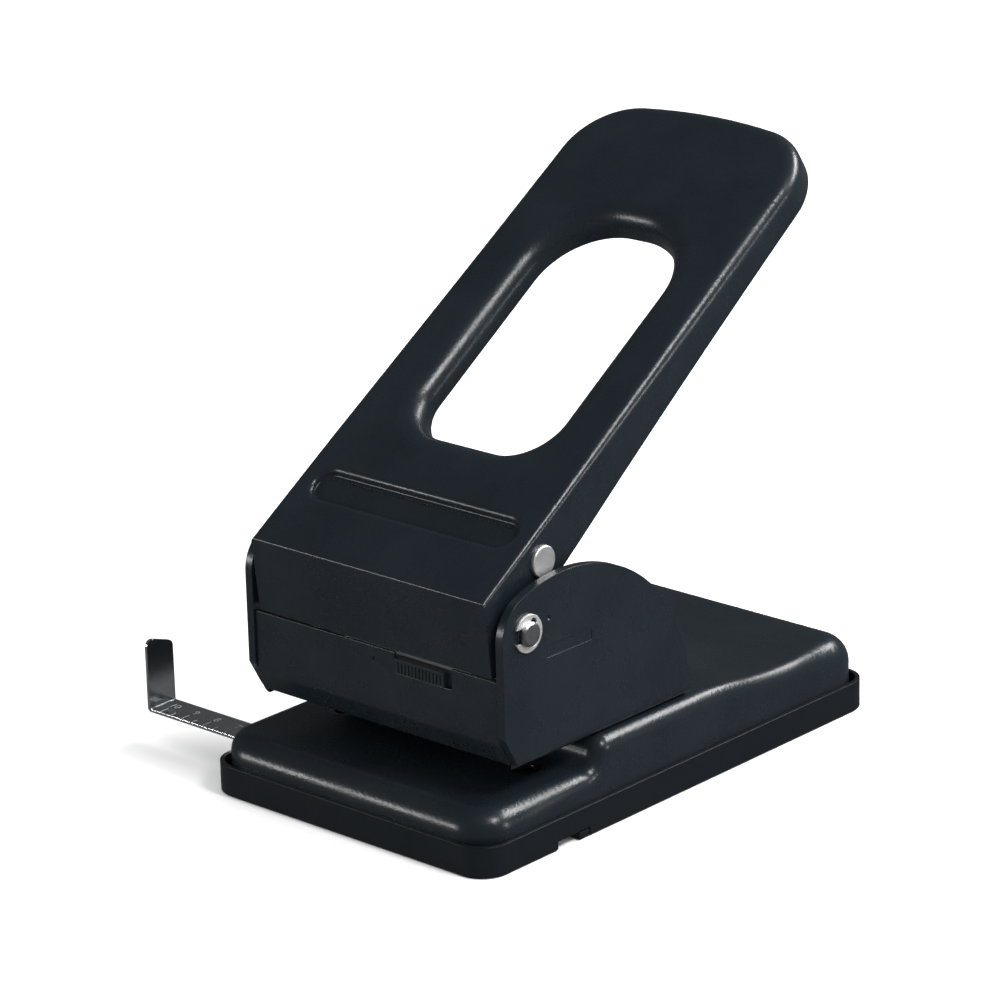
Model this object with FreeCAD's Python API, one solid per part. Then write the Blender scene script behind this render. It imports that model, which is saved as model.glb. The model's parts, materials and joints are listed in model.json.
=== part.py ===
import FreeCAD, Part
import math
import os

# Heavy-duty two-hole punch, millimetres, +Z up.
# Origin: middle of the underside, +X to the right of a person facing the front, +Y towards the
# end of the lever.

# Punching: where the holes go
hole_spacing = 80.0
hole_depth = 12.0             # from the paper stop to the middle of the holes
punch_radius = 3.0
running_gap = 0.05            # radial, between a shaft and its bore
half_paper = 105.0            # paper half length that the side stop is set to

# Base: plastic tray and the pressed steel shell that drops into it
base_width = 122.4
base_length = 195.6
tray_height = 10.6
tray_wall = 1.6
tray_floor = 2.5
corner_radius = 10.0
shell_corner = 13.0
shell_gap = 0.2               # between the tray's wall and the shell
shell_sheet = 1.5
table_height = 20.0
deck_height = 29.5
deck_fall = 3.6               # how much lower the deck is behind the head
fall_length = 50.0            # over which it falls
front_shoulder = 8.0          # rounding along the top of the shell, at its front,
side_shoulder = 5.3           # along its sides
back_shoulder = 9.0           # and round its back
step_radius = 6.0             # both bends of the step between table and deck
stop_from_front = 53.0        # front of the shell to the paper stop
step_lean = 1.5               # middle of the step behind the paper stop
flat_deck = 51.5              # level stretch of the deck behind the paper stop

# Head: U-shaped chassis that stands on the deck and overhangs the table
head_width = 112.0
cheek_sheet = 3.0
cheek_bend = 3.5
cheek_radius = 59.8           # round top edge of a cheek
cheek_centre_rise = 0.2       # its centre above the deck
cheek_centre_back = 3.2       # and behind the punches
cheek_corner = 14.0
cheek_front = 26.8            # front edge of the cheeks ahead of the punches
nose_slope_back = 5.7
nose_slope_rise = 10.2
nose_foot_rise = 2.0
floor_set_back = 4.0          # front of the chassis floor behind the cheeks' foot

# Lever and its pivot
open_angle = 33.5
press_angle = 38.0
pivot_ahead = 15.5            # pivot ahead of the punches
pivot_rise = 44.5             # pivot above the deck
axle_radius = 4.0
lever_gap = 2.5               # between a lever flange and its cheek
lever_sheet = 1.5
lever_length = 205.5
lever_tip_width = 98.0
lever_taper_start = 45.0
lever_tip_bulge = 1.6
lever_corner = 25.0
front_round = 1.5             # rounding along the lever's sides, at the front
lever_round = 5.0             # and round the tip
round_reach = 150.0           # over which it grows
lip_round = 1.0               # between the top and the lip
least_round = 0.3
lip_ahead = 13.5              # front top edge of the lever ahead of the pivot
lip_rise = 12.0               # and above it
lip_lean = 2.9
flange_front_depth = 18.9
flange_front_at = 32.0
flange_middle_depth = 15.3
flange_middle_at = 92.0
flange_back_depth = 12.0
flange_back_at = 183.0
tip_depth = 10.0

# Oval opening in the lever
opening_width = 56.5
opening_start = 57.6
opening_end = 155.6
opening_low_corner = 16.0
opening_high_corner = 25.0
opening_round = 8.0
collar_depth = 10.5

# Bead pressed across the lever above the press bar
bead_length = 86.0
bead_width = 11.0
bead_middle = 27.0
bead_depth = 2.5
bead_lip_round = 2.2
bead_floor_round = 0.9

# Press bar
bar_arm = 23.1                # from the pivot
bar_arm_angle = 53.6          # above level, lever open
bar_radius = 5.2
bar_neck_radius = 4.0
bar_head = 1.2

# Punches, their guide and springs
tip_rise = 1.1                # punch tip above the underside of the chassis
cap_radius = 7.0
cap_height = 2.5
contact_gap = 0.1
guide_rise = 18.5             # underside of the guide bridge above the deck
guide_sheet = 2.5
guide_length = 18.0           # front to back
guide_half_width = 48.5
bushing_radius = 5.0
bushing_flange = 6.2
bushing_flange_height = 1.0
bushing_drop = 3.0
spring_wire = 0.7
spring_radius = 5.1
spring_turns = 8
die_radius = 5.0
die_plate_sheet = 3.0
die_plate_length = 16.0
die_plate_width = 104.0
die_relief = 0.6

# Front cover and the slide that locks the lever down
cover_sheet = 1.2
cover_set_back = 0.8          # behind the front edge of the cheeks
seam_gap = 0.8                # under the lever's lip
cover_height = 20.6           # upright part
cover_flange = 9.0
cover_bend = 8.0              # outside, where the cover turns back under
notch_left = 9.0
notch_depth = 6.8
cover_dimple_drop = 4.1       # below the top of the cover
dimple_radius = 0.9
dimple_depth = 0.6
cheek_dimple = (10.4, 2.0)    # on the right cheek, behind and above the pivot
stamp_middle = (19.5, -9.0)   # plain stamped panel on the right cheek, from the pivot
stamp_size = (22.0, 4.0)
stamp_depth = 0.15
lock_travel = 2.7
lock_grip_width = 21.0
lock_grip_height = 4.7
lock_grip_inset = 0.5         # from the notch's left end
lock_plate = 1.4
lock_plate_end = 44.0
lock_play = 0.2               # between the slide and the parts around it
lock_proud = 0.6              # grip ahead of the cover's face
lock_rib_count = 13
lock_rib_pitch = 1.5
lock_rib_width = 0.6
lock_rib_start = 1.6          # from the grip's left end
lock_rib_depth = 0.4
lock_rib_drop = 0.8           # ribs end below the grip's top
lock_block_start = 38.0
lock_block_end = 5.0          # from the inside of the lever
lock_drop = 3.0               # plate below the grip
rail_left = -2.0
rail_right = 35.0
rail_sheet = 1.0
rail_foot = 2.9
rail_height = 8.0
lock_pin_radius = 1.8
lock_pin_back = 6.0           # bolt behind the cover's outer face
lock_pin_drop = 18.0          # bolt below the pivot
lock_gap = 0.3
hook_radius = 4.2

# Paper guide, a flat ruler that slides out to the left
ruler_width = 12.0
ruler_sheet = 1.0
ruler_front = 14.4            # from the front of the shell to the ruler's front edge
ruler_height = 11.6           # underside of the ruler
ruler_inside = 6.0            # how far it reaches past the middle
stop_height = 26.2
stop_slant = 4.0
stop_corner = 2.5
track_side = 2.2
track_right = 50.0
slide_gap = 0.15
detent_middle = -30.0
detent_rise = 1.8             # spring above the ruler
detent_half = 10.5
detent_bow = 5.0              # half the bowed part
detent_width = 5.0
detent_sheet = 0.5
detent_touch = 0.1            # bow above the ruler
detent_room = 0.5             # between the spring and its window
detent_ledge = 4.0

# Chip flap in the tray's floor
flap_left = 49.0
flap_length = 21.6            # front to back
flap_sheet = 1.8
flap_rise = 0.5
flap_gap = 0.3
hinge_radius = 0.75
knuckle_radius = 1.4
finger_notch = 10.2
finger_notch_height = 3.2
tab_width = 4.6
tab_set_in = 4.5              # tab ahead of the flap's back edge
tab_proud = 0.3               # tab above the flap
stiffener_width = 1.6
stiffener_inset = 4.0         # from the flap's hinged end, twice that from the other
pin_overhang = 4.0            # hinge pin beyond the flap

# Fasteners and feet
rivet_radius = 2.0
rivet_head = 4.0
rivet_head_height = 1.8
rivet_spread = 72.0
post_radius = 4.0
post_bore = 2.0
post_spread = 100.0
post_from_end = 7.2           # from the shell's ends
screw_head = 3.6
screw_head_height = 1.5
screw_length = 9.0
foot_radius = 6.0
foot_sheet = 1.0
foot_spread = 56.0
washer_radius = 7.0
washer_gap = 0.15
clip_radius = 6.2
clip_sheet = 0.8
clip_groove = 1.0
axle_end = 1.6                # beyond the clip

# Places that follow from the sizes above
notch_width = lock_grip_inset + lock_grip_width + lock_travel + lock_play
shell_half = base_width / 2 - tray_wall - shell_gap
shell_front = -base_length / 2 + tray_wall + shell_gap
shell_back = -shell_front
paper_stop = shell_front + stop_from_front
punch_y = paper_stop - hole_depth
punch_xs = (-hole_spacing / 2, hole_spacing / 2)
sides = ((-1, "left"), (1, "right"))
cheek_out = head_width / 2
cheek_in = cheek_out - cheek_sheet
floor_top = deck_height + cheek_sheet
pivot_y = punch_y - pivot_ahead
pivot_z = deck_height + pivot_rise
lever_half = cheek_in - lever_gap
lip_top_y = pivot_y - lip_ahead
lip_top_z = pivot_z + lip_rise
cover_y = punch_y - cheek_front + cover_set_back
bar_y = pivot_y + bar_arm * math.cos(math.radians(bar_arm_angle))
bar_z = pivot_z + bar_arm * math.sin(math.radians(bar_arm_angle))
lip_bottom_z = pivot_z - lip_ahead
cover_top = lip_bottom_z - seam_gap
cap_top = bar_z - bar_radius - contact_gap
spring_low = deck_height + guide_rise + guide_sheet + bushing_flange_height
spring_high = cap_top - cap_height
die_low = table_height - shell_sheet - die_plate_sheet
lock_pin_y = cover_y + lock_pin_back
lock_pin_z = pivot_z - lock_pin_drop
ruler_y = shell_front + ruler_front
flap_y = punch_y
hinge_x = -flap_left - knuckle_radius - flap_gap
hinge_z = flap_rise + knuckle_radius


def point(x, y, z):
    return FreeCAD.Vector(x, y, z)


def box(x_low, x_high, y_low, y_high, z_low, z_high):
    corner = point(x_low, y_low, z_low)
    return Part.makeBox(x_high - x_low, y_high - y_low, z_high - z_low, corner)


def rod_x(radius, x_low, x_high, y, z):
    return Part.makeCylinder(radius, x_high - x_low, point(x_low, y, z), point(1, 0, 0))


def rod_y(radius, y_low, y_high, x, z):
    return Part.makeCylinder(radius, y_high - y_low, point(x, y_low, z), point(0, 1, 0))


def rod_z(radius, z_low, z_high, x, y):
    return Part.makeCylinder(radius, z_high - z_low, point(x, y, z_low), point(0, 0, 1))


def outline(corners, place):
    """Closed wire through corners (a, b) or (a, b, radius), rounded where a radius is given."""
    edges = []
    starts = []
    ends = []
    count = len(corners)
    for i in range(count):
        here = FreeCAD.Vector(corners[i][0], corners[i][1], 0)
        radius = corners[i][2] if len(corners[i]) > 2 else 0
        before = FreeCAD.Vector(corners[i - 1][0], corners[i - 1][1], 0)
        after = FreeCAD.Vector(corners[(i + 1) % count][0], corners[(i + 1) % count][1], 0)
        back = (before - here).normalize()
        forth = (after - here).normalize()
        if radius:
            half = back.getAngle(forth) / 2
            reach = radius / math.tan(half)
            middle = here + (back + forth).normalize() * (radius / math.sin(half) - radius)
            starts.append(here + back * reach)
            ends.append(here + forth * reach)
            edges.append(Part.Arc(place_all(starts[-1], place), place_all(middle, place),
                                  place_all(ends[-1], place)).toShape())
        else:
            starts.append(here)
            ends.append(here)
    for i in range(count):
        a = ends[i]
        b = starts[(i + 1) % count]
        if (b - a).Length > 1e-6:
            edges.append(Part.makeLine(place_all(a, place), place_all(b, place)))
    return Part.Wire(Part.__sortEdges__(edges))


def place_all(flat, place):
    return point(*place(flat.x, flat.y))


def plate_x(corners, x_low, x_high):
    """Side profile in (y, z), as thick as from x_low to x_high."""
    wire = outline(corners, lambda y, z: (x_low, y, z))
    return Part.Face(wire).extrude(point(x_high - x_low, 0, 0))


def plate_z(corners, z_low, z_high):
    """Plan outline in (x, y), as high as from z_low to z_high."""
    wire = outline(corners, lambda x, y: (x, y, z_low))
    return Part.Face(wire).extrude(point(0, 0, z_high - z_low))


def rectangle(half_x, y_low, y_high, radius):
    return [(-half_x, y_low, radius), (half_x, y_low, radius),
            (half_x, y_high, radius), (-half_x, y_high, radius)]


def both(shape):
    """The shape and its mirror image on the other side, as one shape."""
    return shape.fuse(shape.mirror(point(0, 0, 0), point(1, 0, 0)))


def vary_fillet(shape, radii_of):
    """Fillet whose radius changes along the edges: radii_of(edge) is (first, last) or None."""
    bench = FreeCAD.newDocument("bench")
    form = bench.addObject("Part::Feature", "form")
    form.Shape = shape
    rounding = bench.addObject("Part::Fillet", "rounding")
    rounding.Base = form
    edges = []
    for i, edge in enumerate(shape.Edges):
        radii = radii_of(edge)
        if radii:
            edges.append((i + 1, radii[0], radii[1]))
    rounding.Edges = edges
    bench.recompute()
    result = rounding.Shape.copy()
    FreeCAD.closeDocument("bench")
    return result


def blend_between(value, low, high, at_low, at_high):
    share = min(1, max(0, (value - low) / (high - low)))
    return at_low + (at_high - at_low) * share


def group(shapes):
    return Part.makeCompound(shapes)


def save(name, shape):
    shape.exportStep(os.path.join("parts", name + ".step"))
    print(name, round(shape.Volume), shape.isValid())


# Base

def shell_form(inset):
    """Solid under the shell's surface, every face moved in by inset."""
    front = shell_front + inset
    back = shell_back - inset
    table = table_height - inset
    deck = deck_height - inset
    rise = deck_height - table_height
    bend = math.acos(1 - rise / (2 * step_radius))
    low_bend = step_radius + inset
    high_bend = step_radius - inset
    reach = step_radius * math.sin(bend)
    low_y = paper_stop + step_lean - reach
    high_y = paper_stop + step_lean + reach
    half = bend / 2

    def low(angle):
        return point(-base_width, low_y + low_bend * math.sin(angle),
                     table + low_bend * (1 - math.cos(angle)))

    def high(angle):
        return point(-base_width, high_y - high_bend * math.sin(angle),
                     deck - high_bend * (1 - math.cos(angle)))

    level_end = point(-base_width, paper_stop + flat_deck, deck)
    turn = 2 * math.atan(deck_fall / fall_length)
    sweep = fall_length / 2 / math.sin(turn)
    fall_start = level_end + point(0, sweep * math.sin(turn / 2), sweep * (math.cos(turn / 2) - 1))
    fall_middle = level_end + point(0, fall_length / 2, -deck_fall / 2)
    fall_stop = level_end + point(0, fall_length, -deck_fall)
    fall_end = fall_stop + point(0, -sweep * math.sin(turn / 2), sweep * (1 - math.cos(turn / 2)))
    back_top = point(-base_width, back, deck - deck_fall)
    edges = [
        Part.makeLine(point(-base_width, front, 0), point(-base_width, front, table)),
        Part.makeLine(point(-base_width, front, table), low(0)),
        Part.Arc(low(0), low(half), low(bend)).toShape(),
        Part.makeLine(low(bend), high(bend)) if (low(bend) - high(bend)).Length > 1e-4 else None,
        Part.Arc(high(bend), high(half), high(0)).toShape(),
        Part.makeLine(high(0), level_end),
        Part.Arc(level_end, fall_start, fall_middle).toShape(),
        Part.Arc(fall_middle, fall_end, fall_stop).toShape(),
        Part.makeLine(fall_stop, back_top),
        Part.makeLine(back_top, point(-base_width, back, 0)),
        Part.makeLine(point(-base_width, back, 0), point(-base_width, front, 0)),
    ]
    side = Part.Face(Part.Wire([e for e in edges if e])).extrude(point(2 * base_width, 0, 0))
    radius = shell_corner - inset
    plan = plate_z(rectangle(shell_half - inset, front, back, radius), 0, deck_height + 1)
    form = side.common(plan)

    def radii_of(edge):
        if edge.BoundBox.ZMin < table - 0.01 or not on_wall(edge, inset):
            return None
        return [shoulder_at(v.Point.y) - inset for v in (edge.firstVertex(), edge.lastVertex())]

    return vary_fillet(form, radii_of)


def shoulder_at(y):
    """Rounding along the top of the shell this far back."""
    if y < paper_stop:
        step_start = paper_stop + step_lean - step_radius
        return blend_between(y, shell_front + shell_corner, step_start, front_shoulder, side_shoulder)
    fall_stop = paper_stop + flat_deck + fall_length
    return blend_between(y, fall_stop, shell_back - shell_corner, side_shoulder, back_shoulder)


def on_wall(edge, inset):
    """True where an edge lies along the outer wall of the shell's form."""
    middle = edge.valueAt((edge.FirstParameter + edge.LastParameter) / 2)
    half = shell_half - inset
    front = shell_front + inset
    back = shell_back - inset
    radius = shell_corner - inset
    inner_x = half - radius
    inner_front = front + radius
    inner_back = back - radius
    dx = max(abs(middle.x) - inner_x, 0)
    dy = max(inner_front - middle.y, middle.y - inner_back, 0)
    return abs(math.hypot(dx, dy) - radius) < 0.02


def make_shell(outer, inner):
    shell = outer.cut(inner)
    shell = shell.cut(box(-base_width, base_width, -base_length, base_length, -1, tray_floor))
    for x in punch_xs:
        shell = shell.cut(rod_z(die_radius + running_gap, die_low, table_height + 1, x, punch_y))
        for y in rivet_ys():
            side = math.copysign(rivet_spread / 2, x)
            shell = shell.cut(rod_z(rivet_radius, deck_height - 3, deck_height + 1, side, y))
    slot = box(-base_width, -shell_half + 3, ruler_y - slide_gap, ruler_y + ruler_width + slide_gap,
               ruler_height - slide_gap, ruler_height + ruler_sheet + slide_gap)
    tab_slot = box(shell_half - 4, base_width, notch_front() - flap_gap, tab_back() + flap_gap,
                   0, finger_notch_height + 0.6)
    return shell.cut(slot).cut(tab_slot)


def make_tray():
    outer = plate_z(rectangle(base_width / 2, -base_length / 2, base_length / 2, corner_radius),
                    0, tray_height)
    low_edge = [e for e in outer.Edges if e.BoundBox.ZMax < 0.01]
    outer = outer.makeChamfer(0.6, low_edge)
    room = plate_z(rectangle(base_width / 2 - tray_wall, -base_length / 2 + tray_wall,
                             base_length / 2 - tray_wall, corner_radius - tray_wall),
                   tray_floor, tray_height + 1)
    tray = outer.cut(room)
    window_left = hinge_x - knuckle_radius - flap_gap
    tray = tray.cut(box(window_left, shell_half - 2, flap_y - flap_length / 2 - flap_gap,
                        flap_y + flap_length / 2 + flap_gap, -1, tray_floor + 1))
    tray = tray.cut(box(shell_half - 3, base_width, notch_front(), tab_back() + flap_gap,
                        -1, finger_notch_height))
    ribs = []
    for edge in (ruler_y + 1.5, ruler_y + ruler_width - 1.5):
        rib = box(-shell_half + 4, track_right, edge - 0.7, edge + 0.7, tray_floor, track_low())
        ribs.append(rib)
    tray = tray.fuse(ribs)
    hinge = rod_y(hinge_radius, hinge_front(), hinge_back(), hinge_x, hinge_z)
    tray = tray.cut(hinge)
    for x, y in post_places():
        tray = tray.cut(rod_z(post_bore, -1, tray_floor + 1, x, y))
        tray = tray.cut(rod_z(screw_head + slide_gap, -1, screw_head_height + slide_gap, x, y))
    for x, y in foot_places():
        tray = tray.cut(rod_z(foot_radius, -1, foot_sheet, x, y))
    return tray.removeSplitter()


def track_low():
    return ruler_height - 2.0


def hinge_front():
    return flap_y - flap_length / 2 - pin_overhang


def hinge_back():
    return flap_y + flap_length / 2 + pin_overhang


def tab_back():
    return flap_y + flap_length / 2 - tab_set_in


def notch_front():
    return tab_back() - tab_width - finger_notch - flap_gap


def rivet_ys():
    return (paper_stop + 14.0, paper_stop + 40.0)


def post_places():
    half = post_spread / 2
    rows = (shell_front + post_from_end, shell_back - 2 * post_from_end)
    return [(x, y) for x in (-half, half) for y in rows]


def foot_places():
    half = foot_spread / 2
    return [(x, y) for x in (-half, half) for y in (shell_front + 8.5, shell_back - 12.0)]


def make_posts(inner):
    posts = []
    for x, y in post_places():
        post = rod_z(post_radius, tray_floor, deck_height, x, y).common(inner)
        posts.append(post.cut(rod_z(post_bore, tray_floor, tray_floor + screw_length, x, y)))
    return group(posts)


def make_screws():
    screws = []
    for x, y in post_places():
        head = rod_z(screw_head, slide_gap, screw_head_height + slide_gap, x, y)
        shank = rod_z(post_bore, screw_head_height + slide_gap, tray_floor + screw_length - 1, x, y)
        slot = box(x - screw_head, x + screw_head, y - 0.5, y + 0.5, 0, slide_gap + 0.7)
        screws.append(head.fuse(shank).cut(slot).removeSplitter())
    return group(screws)


def make_feet():
    return group([rod_z(foot_radius, 0, foot_sheet, x, y) for x, y in foot_places()])


def make_flap():
    front = flap_y - flap_length / 2
    back = flap_y + flap_length / 2
    high = flap_rise + flap_sheet
    plate = box(-flap_left - knuckle_radius, shell_half - 2.5, front, back, flap_rise, high)
    tab = box(shell_half - 3, base_width / 2 - 0.2, tab_back() - tab_width, tab_back(),
              flap_gap, high + tab_proud)
    knuckle = rod_y(knuckle_radius, front, back, hinge_x, hinge_z)
    flap = plate.fuse([tab, knuckle, box(hinge_x, -flap_left, front, back, flap_rise, high)])
    half = stiffener_width / 2
    stiffener = box(-flap_left + stiffener_inset, shell_half - 2 * stiffener_inset,
                    flap_y - half, flap_y + half, high, high + stiffener_width)
    bore = rod_y(hinge_radius + running_gap, front, back, hinge_x, hinge_z)
    return flap.fuse(stiffener).cut(bore).removeSplitter()


def make_hinge_pin():
    return rod_y(hinge_radius, hinge_front(), hinge_back(), hinge_x, hinge_z)


# Dies

def make_die_plate():
    half = die_plate_length / 2
    plate = box(-die_plate_width / 2, die_plate_width / 2, punch_y - half, punch_y + half,
                die_low, table_height - shell_sheet)
    for x in punch_xs:
        plate = plate.cut(rod_z(die_radius + running_gap, 0, table_height, x, punch_y))
    return plate


def make_die(x):
    die = rod_z(die_radius, die_low, table_height, x, punch_y)
    die = die.cut(rod_z(punch_radius + running_gap, die_low, table_height + 1, x, punch_y))
    return die.cut(rod_z(punch_radius + die_relief, die_low, table_height - 2.5, x, punch_y))


# Head

def cheek_profile():
    """Outline of a cheek in (y, z), with its round top edge as an arc."""
    front = punch_y - cheek_front
    centre_y = punch_y + cheek_centre_back
    centre_z = deck_height + cheek_centre_rise
    foot = deck_height
    nose_y = front + nose_slope_back
    nose_z = foot + nose_foot_rise
    back_y = centre_y + math.sqrt(cheek_radius ** 2 - (foot + 1.5 - centre_z) ** 2)
    # The corner between the upright front edge and the round top is an arc tangent to both.
    corner_y = front + cheek_corner
    corner_z = centre_z + math.sqrt((cheek_radius - cheek_corner) ** 2 - (corner_y - centre_y) ** 2)
    away = math.atan2(corner_z - centre_z, corner_y - centre_y)
    join_y = corner_y + cheek_corner * math.cos(away)
    join_z = corner_z + cheek_corner * math.sin(away)
    middle = (away + math.pi) / 2
    end = math.atan2(foot + 1.5 - centre_z, back_y - centre_y)
    crest = (away + end) / 2

    def at(y, z):
        return point(cheek_in, y, z)

    def polar(y, z, radius, angle):
        return at(y + radius * math.cos(angle), z + radius * math.sin(angle))

    edges = [
        Part.makeLine(at(nose_y, foot), at(nose_y, nose_z)),
        Part.makeLine(at(nose_y, nose_z), at(front, nose_z + nose_slope_rise)),
        Part.makeLine(at(front, nose_z + nose_slope_rise), at(front, corner_z)),
        Part.Arc(at(front, corner_z), polar(corner_y, corner_z, cheek_corner, middle),
                 at(join_y, join_z)).toShape(),
        Part.Arc(at(join_y, join_z), polar(centre_y, centre_z, cheek_radius, crest),
                 at(back_y, foot + 1.5)).toShape(),
        Part.makeLine(at(back_y, foot + 1.5), at(back_y, foot)),
        Part.makeLine(at(back_y, foot), at(nose_y, foot)),
    ]
    return Part.Wire(edges)


def make_chassis():
    cheek = Part.Face(cheek_profile()).extrude(point(cheek_sheet, 0, 0))
    ends = cheek.BoundBox
    nose_y = punch_y - cheek_front + nose_slope_back
    floor = box(-cheek_out, cheek_out, nose_y, ends.YMax, deck_height, floor_top)
    chassis = floor.fuse(both(cheek)).removeSplitter()
    bottom = [e for e in chassis.Edges if long_edge(e, cheek_out, deck_height)]
    chassis = chassis.makeFillet(cheek_bend, bottom)
    chassis = chassis.cut(box(-cheek_in, cheek_in, nose_y - 1, nose_y + floor_set_back, 0, floor_top + 1))
    for x in punch_xs:
        chassis = chassis.cut(rod_z(punch_radius + 2 * running_gap, 0, floor_top + 1, x, punch_y))
        for y in rivet_ys():
            side = math.copysign(rivet_spread / 2, x)
            chassis = chassis.cut(rod_z(rivet_radius, 0, floor_top + 1, side, y))
    chassis = chassis.cut(rod_x(axle_radius + running_gap / 2, -head_width, head_width, pivot_y, pivot_z))
    return chassis.cut(cheek_marks())


def cheek_marks():
    """Punch mark and plain stamped panel in the outside of the right cheek."""
    dimple = Part.makeCone(dimple_radius, dimple_radius / 3, dimple_depth,
                           point(cheek_out, pivot_y + cheek_dimple[0], pivot_z + cheek_dimple[1]),
                           point(-1, 0, 0))
    y = pivot_y + stamp_middle[0]
    z = pivot_z + stamp_middle[1]
    half_length = stamp_size[0] / 2
    half_height = stamp_size[1] / 2
    corners = [(y - half_length, z - half_height, 1), (y + half_length, z - half_height, 1),
               (y + half_length, z + half_height, 1), (y - half_length, z + half_height, 1)]
    return [dimple, plate_x(corners, cheek_out - stamp_depth, head_width)]


def long_edge(edge, x, z):
    """True for an edge that runs front to back at (x or -x, z)."""
    room = edge.BoundBox
    level = room.ZMax - room.ZMin < 0.01 and abs(room.ZMin - z) < 0.01
    return level and room.XMax - room.XMin < 0.01 and abs(abs(room.XMax) - x) < 0.01


def make_rivets():
    rivets = []
    for x in (-rivet_spread / 2, rivet_spread / 2):
        for y in rivet_ys():
            low = deck_height - shell_sheet
            shank = rod_z(rivet_radius, low, floor_top, x, y)
            head = rod_z(rivet_head, floor_top, floor_top + rivet_head_height, x, y)
            head = head.makeFillet(1.2, [e for e in head.Edges if e.BoundBox.ZMin > floor_top + 1])
            tail = rod_z(rivet_head - 0.6, low - 1.2, low, x, y)
            rivets.append(shank.fuse([head, tail]).removeSplitter())
    return group(rivets)


def make_cover():
    back = cover_sheet
    bend_z = cover_top - cover_height
    end_y = cover_y + nose_slope_back - 1.2
    end_z = floor_top - 1.5
    slope = math.atan2(bend_z - end_z, end_y - cover_y)
    turn_y = back * math.sin(slope)
    turn_z = back * math.cos(slope)
    inner_bend = bend_z + back * math.tan((math.pi / 2 - slope) / 2)
    corners = [(cover_y, cover_top), (cover_y, bend_z, cover_bend), (end_y, end_z),
               (end_y + turn_y, end_z + turn_z), (cover_y + back, inner_bend, cover_bend - back),
               (cover_y + back, cover_top)]
    cover = plate_x(corners, -cheek_in, cheek_in)
    side_low = bend_z + 3
    flange = box(cheek_in - cover_sheet, cheek_in, cover_y + 0.4, cover_y + back + cover_flange,
                 side_low, cover_top - 1)
    notch = box(notch_left, notch_left + notch_width, cover_y - 1, cover_y + 3,
                cover_top - notch_depth, cover_top + 1)
    dimple = Part.makeCone(dimple_radius, dimple_radius / 3, dimple_depth,
                           point(0, cover_y, cover_top - cover_dimple_drop), point(0, 1, 0))
    return cover.fuse(both(flange)).cut(notch).cut(dimple).removeSplitter()


def make_lock_slide():
    low = lock_low()
    high = low + lock_grip_height
    grip_left = notch_left + lock_grip_inset
    grip = box(grip_left, grip_left + lock_grip_width, cover_y - lock_proud, lock_plate_y(), low, high)
    ribs = []
    for i in range(lock_rib_count):
        x = grip_left + lock_rib_start + i * lock_rib_pitch
        ribs.append(box(x - lock_rib_width / 2, x + lock_rib_width / 2, cover_y - 1,
                        cover_y - lock_proud + lock_rib_depth, low - 1, high - lock_rib_drop))
    grip = grip.cut(Part.makeCompound(ribs))
    plate = box(grip_left - 2 * lock_drop, lock_plate_end, lock_plate_y(), lock_plate_y() + lock_plate,
                low - lock_drop, high)
    lever_in = lever_half - lever_sheet
    block_end = lever_in - lock_block_end
    block = box(lock_block_start, block_end, lock_plate_y(), lock_pin_y + lock_pin_radius, low - 0.5,
                lock_pin_z + lock_pin_radius + 0.4)
    bolt = rod_x(lock_pin_radius, block_end - 1, lever_in - lock_gap, lock_pin_y, lock_pin_z)
    return grip.fuse([plate, block, bolt]).removeSplitter()


def lock_low():
    return cover_top - notch_depth + lock_play


def lock_plate_y():
    return cover_y + cover_sheet + lock_play


def make_lock_rail():
    low = lock_low() - lock_drop
    wall_y = lock_plate_y() + lock_plate + lock_play
    foot = box(rail_left, rail_right, cover_y + cover_sheet, wall_y + rail_sheet, low - rail_foot - 0.1,
               low - 0.1)
    wall = box(rail_left, rail_right, wall_y, wall_y + rail_sheet, low - rail_foot - 0.1,
               low - rail_foot - 0.1 + rail_height)
    return foot.fuse(wall).removeSplitter()


def make_bridge():
    low = deck_height + guide_rise
    front = punch_y - guide_length / 2
    back = punch_y + guide_length / 2
    top = box(-guide_half_width, guide_half_width, front, back, low, low + guide_sheet)
    leg = box(guide_half_width - guide_sheet, guide_half_width, front, back, floor_top, low + guide_sheet)
    bridge = top.fuse(both(leg)).removeSplitter()
    bend = [e for e in bridge.Edges if long_edge(e, guide_half_width, low + guide_sheet)]
    bridge = bridge.makeFillet(guide_sheet, bend)
    for x in punch_xs:
        bridge = bridge.cut(rod_z(bushing_radius, 0, low + 10, x, punch_y))
    return bridge


def make_bushing(x):
    top = deck_height + guide_rise + guide_sheet
    body = rod_z(bushing_radius, top - guide_sheet - bushing_drop, top, x, punch_y)
    flange = rod_z(bushing_flange, top, top + bushing_flange_height, x, punch_y)
    bore = rod_z(punch_radius + running_gap, 0, top + 10, x, punch_y)
    return body.fuse(flange).cut(bore).removeSplitter()


def make_punch(x):
    tip = deck_height + tip_rise
    pin = rod_z(punch_radius, tip, cap_top, x, punch_y)
    # The cutting end is ground to a shallow V.
    notch = plate_x([(punch_y - 4, tip - 1), (punch_y, tip + 1.6), (punch_y + 4, tip - 1)], x - 4, x + 4)
    return pin.cut(notch)


def make_cap(x):
    cap = rod_z(cap_radius, cap_top - cap_height, cap_top, x, punch_y)
    cap = cap.makeChamfer(0.5, [e for e in cap.Edges if e.BoundBox.ZMin > cap_top - 0.01])
    return cap.cut(rod_z(punch_radius, 0, cap_top + 1, x, punch_y))


def make_spring(x):
    low = spring_low + spring_wire
    height = spring_high - spring_low - 2 * spring_wire
    helix = Part.makeHelix(height / spring_turns, height, spring_radius)
    circle = Part.Circle(point(spring_radius, 0, 0), point(0, 1, 0.14), spring_wire).toShape()
    coil = Part.Wire(helix.Edges).makePipeShell([Part.Wire([circle])], True, True)
    coil.translate(point(x, punch_y, low))
    return coil


# Lever, made in its own frame: x across, y along its top from the front edge, z out of its top

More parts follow.
